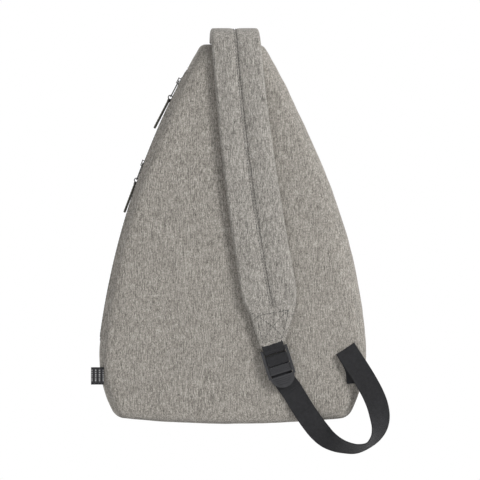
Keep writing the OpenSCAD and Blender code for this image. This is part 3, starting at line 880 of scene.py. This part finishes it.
def padded_strap():
    across_steps, rows = 34, 130
    start = ARCH_R + STRAP_T - math.pi * ARCH_MID_R
    verts, sewn = [], []
    for i in range(rows + 1):
        d = lerp(start, STRAP_L, i / rows)
        spread = [-math.cos(math.pi * k / across_steps) for k in range(across_steps + 1)]
        places = [lerp(c, 2 * k / across_steps - 1, 0.5) * HALF_W for k, c in enumerate(spread)]
        verts += [strap_front(d, a)[0] for a in places]
        verts += [strap_back(d, a) for a in reversed(places[1:-1])]
        end = max(1 - smoothstep(start + 20, start + 45, d), smoothstep(STRAP_L - 9, STRAP_L - 3, d))
        row = [max(end, 1 - smoothstep(1.6, 3.6, abs(a)), smoothstep(HALF_W - 3, HALF_W - 0.5, abs(a)))
               for a in places]
        sewn += row + list(reversed(row[1:-1]))
    obj = new_mesh("padded_strap", verts, tube_faces(rows + 1, 2 * across_steps), HEATHER_STRAP)
    seams = nearest(verts)
    inflate(obj, lambda co: sewn[seams.find(co)[1]], 1.8, 1.2)
    smoother(obj)
    return obj


def lock_point(across, out, along):
    """A point in the ladder lock's own frame: across it, outwards from its middle, along it."""
    c, s = math.cos(LOCK_LEAN), math.sin(LOCK_LEAN)
    return LOCK_POS + Vector((c * across + s * along, -out, s * across - c * along))


TAB_REACH = -5.4


def tab_point(across, along, out):
    """A point on the sewn end: across from -1 to 1, along from 0 at the padding to 1 at the lock."""
    a = strap_slope(STRAP_L)
    top = Vector((strap_x(STRAP_L), LOCK_POS.y, STRAP_T - STRAP_L + 5))
    top += Vector((math.cos(a), 0, math.sin(a))) * across * (half_width(STRAP_L) - 0.6)
    low = lock_point(across * (WEB_W / 2 + 1.6), 0, TAB_REACH)
    p = top.lerp(low, along)
    waist = 0.8 * math.sin(math.pi * along) * across
    return p + Vector((waist, -out, 0))


def end_tab():
    columns, rows = 30, 34
    verts = []
    for side in (1, -1):
        for i in range(rows + 1):
            for k in range(columns + 1):
                across, along = 2 * k / columns - 1, i / rows
                edge = smoothstep(1.0, 0.82, abs(across)) * smoothstep(1.0, 0.94, along)
                half = lerp(2.9, 1.9, along) * lerp(0.45, 1, edge)
                ripple = 0.3 * ruffle((across * 20, along * 40, side), 9, 15) * edge
                verts.append(tab_point(across, along, side * half + ripple))
    offset = (rows + 1) * (columns + 1)
    faces = grid_faces(rows + 1, columns + 1) + grid_faces(rows + 1, columns + 1, start=offset)
    rim = list(range(columns + 1))
    rim += [i * (columns + 1) + columns for i in range(1, rows + 1)]
    rim += [rows * (columns + 1) + k for k in reversed(range(columns))]
    rim += [i * (columns + 1) for i in reversed(range(1, rows))]
    for a, b in zip(rim, rim[1:] + rim[:1]):
        faces.append((a, b, b + offset, a + offset))
    return new_mesh("strap_end_tab_cloth", verts, faces, HEATHER_STRAP)


def strap_run(a, start, end, steps):
    return [strap_front(lerp(start, end, i / steps), a) for i in range(steps + 1)]


def strap_cross_run(d, start, end, steps=30):
    return [strap_front(d, lerp(start, end, i / steps)) for i in range(steps + 1)]


def tab_run(a, b, steps=24):
    run = []
    for i in range(steps + 1):
        across, along = lerp(a[0], b[0], i / steps), lerp(a[1], b[1], i / steps)
        run.append((tab_point(across, along, lerp(2.9, 1.9, along) - 0.05), Vector((0, -1, 0))))
    return run


strap = padded_strap()
tab = end_tab()
centre_stitching = stitches("strap_stitching", [
    strap_run(-1.5, -18, STRAP_L - 5, 420), strap_run(1.5, -18, STRAP_L - 5, 420),
    strap_cross_run(STRAP_L - 2.5, -HALF_W + 4, -3), strap_cross_run(STRAP_L - 2.5, 3, HALF_W - 4),
])
box = [(-0.72, 0.14), (0.72, 0.14), (0.72, 0.86), (-0.72, 0.86)]
box_lines = [(0, 1), (1, 2), (2, 3), (3, 0), (0, 2), (1, 3)]
tab_stitching = stitches("strap_end_stitching", [tab_run(box[i], box[j]) for i, j in box_lines])

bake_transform(strap)
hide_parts("strap_arch", "strap_cover", "strap_padding")
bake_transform(centre_stitching)
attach(tab, "strap")
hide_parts("strap_end_tab")
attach(tab_stitching, "strap")


# ---------- webbing ----------

# Route of the adjuster webbing: x, y, height above the base, and how far its face turns inwards
LOOP_ROUTE = [
    (56.8, -10.1, 56.5, 0), (62.2, -10.3, 47.5, 0), (68.5, -10.5, 39, 0), (76.5, -11, 26, 0),
    (84, -12, 14, 0), (92, -13.5, 2.5, 4), (99.5, -15, -7, 12), (108, -17, -15.5, 28),
    (117.5, -19, -21.5, 42), (128, -21, -25.5, 54), (138, -22, -27.6, 60), (147, -22.5, -27.2, 67),
    (155, -22, -24.5, 72), (161, -21.5, -19.5, 66), (165.8, -20.5, -12.5, 54), (168.8, -19.5, -4.5, 40),
    (169.8, -18.5, 4, 26), (169, -17.5, 13, 14), (166.6, -16.5, 23, 6), (162.2, -16, 34, 2),
    (157, -15.5, 44, 0), (150, -15, 56, 0), (143, -14.5, 67, 0), (135.5, -13.8, 78.5, 0),
    (132, -13, 84, 0), (130.6, -11.4, 86.2, 0), (131.2, -9.6, 85, 0), (133.6, -8.7, 81, 0),
    (137.5, -8.6, 74.5, 0), (141.5, -8.5, 66.5, 0), (143.5, -8.4, 57, 0), (144.4, -8.3, 47, 0),
]


def ribbon_frames(points, turns):
    """(across, up) along a ribbon. It keeps the fold's direction where it runs straight through the depth."""
    frames = []
    for i, turn in enumerate(turns):
        ahead = heading(points, i)
        flat = Vector((ahead.z, 0, -ahead.x))
        if flat.length < 0.45 and frames:
            across = frames[-1][0]
        else:
            flat.normalize()
            deep = ahead.cross(flat).normalized()
            across = flat * math.cos(math.radians(turn)) + deep * math.sin(math.radians(turn))
            if frames and across.dot(frames[-1][0]) < 0:
                across = -across
        if frames:
            across = frames[-1][0].lerp(across, 0.45)
        across = (across - ahead * across.dot(ahead)).normalized()
        frames.append((across, across.cross(ahead).normalized()))
    return frames


def webbing_section():
    """Flat weave with a slightly fuller selvedge down each edge."""
    half, t = WEB_W / 2, WEB_T / 2
    top = [(-half, 0), (-half + 0.15, t * 0.75), (-half + 0.6, t), (-half + 1.5, t), (-half + 2.1, t * 0.8)]
    inner = [(lerp(-half + 2.1, half - 2.1, k / 10), t * 0.8) for k in range(1, 10)]
    top += inner + [(-a, b) for a, b in reversed(top)]
    return top + [(a, -b) for a, b in reversed(top[1:-1])]


def webbing_piece(name, points, frames):
    return new_mesh(name, *sweep(points, frames, webbing_section()), WEBBING)


ROUTE_STEPS = 8
curve = spline(LOOP_ROUTE, ROUTE_STEPS)
loop_points = [Vector((x, y, BASE_Z + h)) for x, y, h, turn in curve]
loop_frames = ribbon_frames(loop_points, [c[3] for c in curve])
first_cut = 2 * ROUTE_STEPS
second_cut = 10 * ROUTE_STEPS
lock_leg, long_leg, return_leg = (
    webbing_piece(name, loop_points[part], loop_frames[part]) for name, part in (
        ("webbing_under_lock", slice(0, first_cut + 1)),
        ("webbing_long_leg", slice(first_cut, second_cut + 1)),
        ("webbing_return_leg", slice(second_cut, None))))
lock_across = Vector((math.cos(LOCK_LEAN), 0, math.sin(LOCK_LEAN)))

# Webbing threaded through the lock: along it, and outwards from its middle
THREAD_ROUTE = [
    (34.0, -2.8), (27.6, -2.5), (22, -2.5), (18.6, -2.55), (17.4, -2), (16.95, -0.9), (16.9, 1), (16.2, 2.2),
    (14.8, 2.6), (11, 2.6), (7.2, 2.6), (5.9, 2.3), (5.4, 1.2), (5.3, -0.2), (5.3, -2), (6, -3.6), (8, -4.35),
    (14, -4.35), (20, -4.35), (27.0, -4.35),
]
thread_points = [lock_point(0, out, along) for along, out in spline(THREAD_ROUTE, 5)]
threaded = webbing_piece("webbing_threaded", thread_points, frames_across(thread_points, lock_across))

# Short webbing folded round the lock's first bar, sewn under the strap's end
LOCK_BAR_R, LOCK_BAR_CLEAR = 2.2, 0.1
FOLD_R = LOCK_BAR_R + LOCK_BAR_CLEAR + WEB_T / 2
fold_turns = [math.radians(t) for t in range(40, 321, 20)]
fold_route = [(-9.5, 1.0), (-5.0, 1.3)]
fold_route += [(-FOLD_R * math.cos(a), FOLD_R * math.sin(a)) for a in fold_turns]
fold_route += [(-5.0, -1.3), (-9.5, -1.0)]
fold_points = [lock_point(0, out, along) for along, out in spline(fold_route, 3)]
folded = webbing_piece("webbing_lock_loop", fold_points, frames_across(fold_points, lock_across))

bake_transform(lock_leg)
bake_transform(long_leg)
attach(return_leg, "bag")
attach(threaded, "lock")
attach(folded, "strap")
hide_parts("adjuster_webbing")
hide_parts("threaded_webbing")
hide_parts("buckle_webbing")


# ---------- zips ----------

def track_matrix(angle, middle_y, place):
    """Frame on the side curve: -X outwards, Z up the curve."""
    a = math.radians(angle)
    return (place @ Matrix.Translation((SIDE_C.x, middle_y, SIDE_C.y)) @ Matrix.Rotation(a, 4, "Y")
            @ Matrix.Translation((-SIDE_R, 0, 0)))


COIL_PITCH, COIL_WIRE_R, COIL_SINK = 1.15, 0.36, 0.75


def coil(name, zip_from, middle_y, place):
    """Two rows of nylon turns that meet down the middle of the zip."""
    steps = int(math.radians(zip_from - ZIP_LOW) * SIDE_R / COIL_PITCH)
    section = circle_section(COIL_WIRE_R, 6)
    hoop = [(0.35, 2.4), (-0.2, 2.9), (-0.75, 2.4), (-0.85, 1.2), (-0.55, 0.45), (0.0, 0.30), (0.35, 0.9)]
    verts, faces = [], []
    for i in range(steps):
        angle = ZIP_LOW + (zip_from - ZIP_LOW) * (i + 0.5) / steps
        for side in (-1, 1):
            m = track_matrix(angle + side * math.degrees(COIL_PITCH / 4 / SIDE_R), middle_y, place)
            path = [m @ Vector((x + COIL_SINK, side * y, 0.12 * k)) for k, (x, y) in enumerate(hoop)]
            up = (m.to_3x3() @ Vector((0, 0, 1))).normalized()
            add_swept(verts, faces, path, frames_across(path, up), section)
    return new_mesh(name, verts, faces, COIL)


PULL_CORD_L, PULL_CORD_D, CORD_LAY = 35, 3, 7.0


def twisted_cord(name, start, end, diameter):
    """Two strands laid round each other along a short hanging path."""
    path_points, fine, sides = 24, 160, 20
    path = [start.lerp(end, i / (path_points - 1)) for i in range(path_points)]
    ahead = (end - start).normalized()
    side = ahead.cross(Vector((0, 1, 0))).normalized()
    other = ahead.cross(side).normalized()
    verts = []
    for i in range(fine + 1):
        t = i / fine
        centre = start.lerp(end, t)
        twist = 2 * math.pi * t * (end - start).length / CORD_LAY
        blunt = math.sqrt(max(1 - max((t - 0.965) / 0.035, 0) ** 2, 0.05))
        for k in range(sides):
            a = 2 * math.pi * k / sides
            lay = 0.86 + 0.14 * abs(math.cos(a - twist))
            verts.append(centre + (side * math.cos(a) + other * math.sin(a)) * diameter / 2 * lay * blunt)
    return new_mesh(name, verts, tube_faces(fine + 1, sides), CORD), [tuple(p * MM) for p in path]


def soften(node, width, segments=2):
    """Rounds a CAD node's edges."""
    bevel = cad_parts[node].modifiers.new("edges", "BEVEL")
    bevel.width = width * MM
    bevel.segments = segments
    bevel.limit_method = "ANGLE"
    bevel.angle_limit = math.radians(35)


SEAM_ACROSS, SEAM_BEYOND = 8.9, 0.25


def zip_stitching(name, wall, zip_from, middle_y, place):
    """A row of stitches along each lip of a zip and across its two ends, laid on the gusset."""
    low, high = ZIP_LOW - SEAM_BEYOND, zip_from + SEAM_BEYOND
    rows = [[(lerp(low, high, i / 200), side * SEAM_ACROSS) for i in range(201)] for side in (-1, 1)]
    rows += [[(angle, lerp(-SEAM_ACROSS, SEAM_ACROSS, i / 16)) for i in range(17)] for angle in (low, high)]
    runs = []
    for row in rows:
        runs.append([])
        for angle, across in row:
            above = track_matrix(angle, middle_y + across, place) @ Vector((-3, 0, 0))
            co, normal = wall.closest_point_on_mesh(above * MM)[1:3]
            runs[-1].append((co / MM, normal.copy()))
    return stitches(name, runs, thread_r=0.3)


# Where the cord starts, below the puller's pin: the plate, less the hole's rim, the ring and its crimp
PULLER_L, HOLE_RIM, RING_HANG, RING_R, CRIMP_L = 21, 0.4, 0.8, 2.4, 3
CORD_FROM = -PULLER_L + HOLE_RIM - RING_HANG - RING_R - CRIMP_L
PIN_RISE = 2.9

for zip_name, slider_at, zip_y, place, wall in (
        ("main", MAIN_SLIDER_AT, MAIN_ZIP_Y, FLAT, body_gusset),
        ("pocket", POCKET_SLIDER_AT, POCKET_ZIP_Y, FRONT, pocket_gusset)):
    seam = zip_stitching(f"{zip_name}_zip_stitching", wall, slider_at + ZIP_END_ROOM, zip_y, place)
    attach(seam, "bag")
    teeth = coil(f"{zip_name}_zip_teeth", slider_at + ZIP_END_ROOM, zip_y, place)
    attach(teeth, "bag")
    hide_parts(f"{zip_name}_zip_coil_back", f"{zip_name}_zip_coil_front")
    at = track_matrix(slider_at, zip_y, place)
    start = at @ Vector((-PIN_RISE, 0, CORD_FROM))
    end = at @ Vector((-PIN_RISE, 0, CORD_FROM - PULL_CORD_L))
    cord, path = twisted_cord(f"{zip_name}_zip_cord", start, end, PULL_CORD_D)
    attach(cord, f"{zip_name}_cord_body")
    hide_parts(f"{zip_name}_pull_cord")
    for part, width in (("zip_stops", 0.2), ("slider", 0.3), ("puller", 0.25)):
        soften(f"{zip_name}_{part}", width)
    for part in ("zip_stops", "slider", "puller", "pull_ring"):
        give(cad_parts[f"{zip_name}_{part}"], METAL)


# ---------- ladder lock ----------

def lock_ribs():
    """Fine grip ribs across the lock's lower bar and along its tongue."""
    verts, faces = [], []
    ribs = [(along, 1.5, 25.6) for along in (19.8, 21.6, 23.4, 25.2)]
    ribs += [(along, 2.75, 22 - abs(along - 33) * 0.9) for along in (33, 35.4, 37.8, 40.2)]
    for along, out, width in ribs:
        path = [lock_point(lerp(-width / 2, width / 2, i / 12), out - 0.1, along) for i in range(13)]
        frames = [(Vector((0, -1, 0)), lock_point(0, 0, 1) - LOCK_POS)] * len(path)
        add_swept(verts, faces, path, frames, circle_section(0.42, 10))
    return new_mesh("lock_ribs", verts, faces, PLASTIC)


soften("ladder_lock", 0.7, 3)
give(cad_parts["ladder_lock"], PLASTIC)
ribs = lock_ribs()
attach(ribs, "lock")


# ---------- label ----------

def side_label():
    """Folded woven label: two plies that part a little at the free fold."""
    low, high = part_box("side_label")
    columns, rows = 24, 24
    verts = []
    x0, x1 = low[0] / MM, high[0] / MM
    z0, z1 = low[2] / MM, high[2] / MM
    y_mid = (low[1] + high[1]) / 2 / MM
    for i in range(rows + 1):
        z = lerp(z0, z1, i / rows)
        ring = []
        for k in range(columns + 1):
            t = k / columns
            curl = -0.7 * (1 - t) ** 2 * math.sin(math.pi * (i / rows) * 0.9 + 0.3)
            x = lerp(x0, x1, t) + 0.15 * ruffle((z, 0, 0), 6, 20)
            open_up = 0.5 * math.sin(math.pi * min(t * 2.4 + 0.12, 1)) + 0.25
            ring.append((x, y_mid + curl, z, open_up))
        verts += [Vector((x, y - g, z)) for x, y, z, g in ring]
        verts += [Vector((x, y + g, z)) for x, y, z, g in reversed(ring)]
    return new_mesh("woven_label", verts, tube_faces(rows + 1, 2 * (columns + 1)), LABEL)


label = side_label()
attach(label, "bag")
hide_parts("side_label")


# ---------- studio ----------

def studio():
    """Round pale floor under the hanging bag, and a sky that is white round the horizon."""
    floor_z = (cad_low[2] - 0.17) / MM
    floor_r, rings, sides = 1100, 12, 96
    verts = [Vector((x, y, floor_z - 6 * (i / rings) ** 6))
             for i in range(1, rings + 1) for x, y in circle_section(floor_r * i / rings, sides)]
    faces = grid_faces(rings, sides, closed_columns=True)
    faces.append(tuple(range(sides)))
    n = Nodes("studio_white")
    n.shader.inputs["Base Color"].default_value = (0.74, 0.74, 0.74, 1)
    new_mesh("studio_floor", verts, faces, n.finish(0.9))
    world = bpy.data.worlds.new("studio")
    bpy.context.scene.world = world
    world.use_nodes = True
    tree = world.node_tree
    place = tree.nodes.new("ShaderNodeTexCoord")
    split = tree.nodes.new("ShaderNodeSeparateXYZ")
    ramp = tree.nodes.new("ShaderNodeValToRGB")
    height = tree.nodes.new("ShaderNodeMath")
    height.operation = "ABSOLUTE"
    tree.links.new(place.outputs["Generated"], split.inputs[0])
    tree.links.new(split.outputs["Z"], height.inputs[0])
    tree.links.new(height.outputs[0], ramp.inputs[0])
    elements = ramp.color_ramp.elements
    elements[0].position, elements[0].color = 0.12, (1, 1, 1, 1)
    elements[1].position, elements[1].color = 0.45, (0.32, 0.32, 0.33, 1)
    tree.links.new(ramp.outputs[0], tree.nodes["Background"].inputs["Color"])
    tree.nodes["Background"].inputs["Strength"].default_value = 1.0


def area_light(name, place, aim, size, power):
    data = bpy.data.lights.new(name, "AREA")
    data.size = size
    data.energy = power
    obj = bpy.data.objects.new(name, data)
    obj.location = place
    obj.rotation_euler = (Vector(aim) - Vector(place)).to_track_quat("-Z", "Y").to_euler()
    bpy.context.scene.collection.objects.link(obj)


def camera():
    """Square to the back of the bag, far off, framed with the room that the bag has round it."""
    frame_w, distance = 0.552, 4.0
    middle_x, middle_z = 0.0092, -0.2334
    data = bpy.data.cameras.new("camera")
    data.sensor_width = 36
    data.lens = 36 * distance / frame_w
    data.clip_end = 50
    obj = bpy.data.objects.new("camera", data)
    obj.location = (middle_x, -distance - 0.01, middle_z)
    obj.rotation_euler = (math.radians(90), 0, 0)
    bpy.context.scene.collection.objects.link(obj)
    bpy.context.scene.camera = obj


studio()
middle = (0, 0, -0.23)
area_light("key", (1.8, -1.6, 0.8), middle, 0.75, 62)
area_light("front_key", (-1.7, 1.9, 0.9), middle, 0.9, 34)
area_light("top", (0.1, 0.5, 2.0), middle, 1.2, 10)
area_light("fill", (-1.7, -2.3, 0.1), middle, 1.6, 9)
camera()
bpy.context.scene.view_settings.view_transform = "Standard"
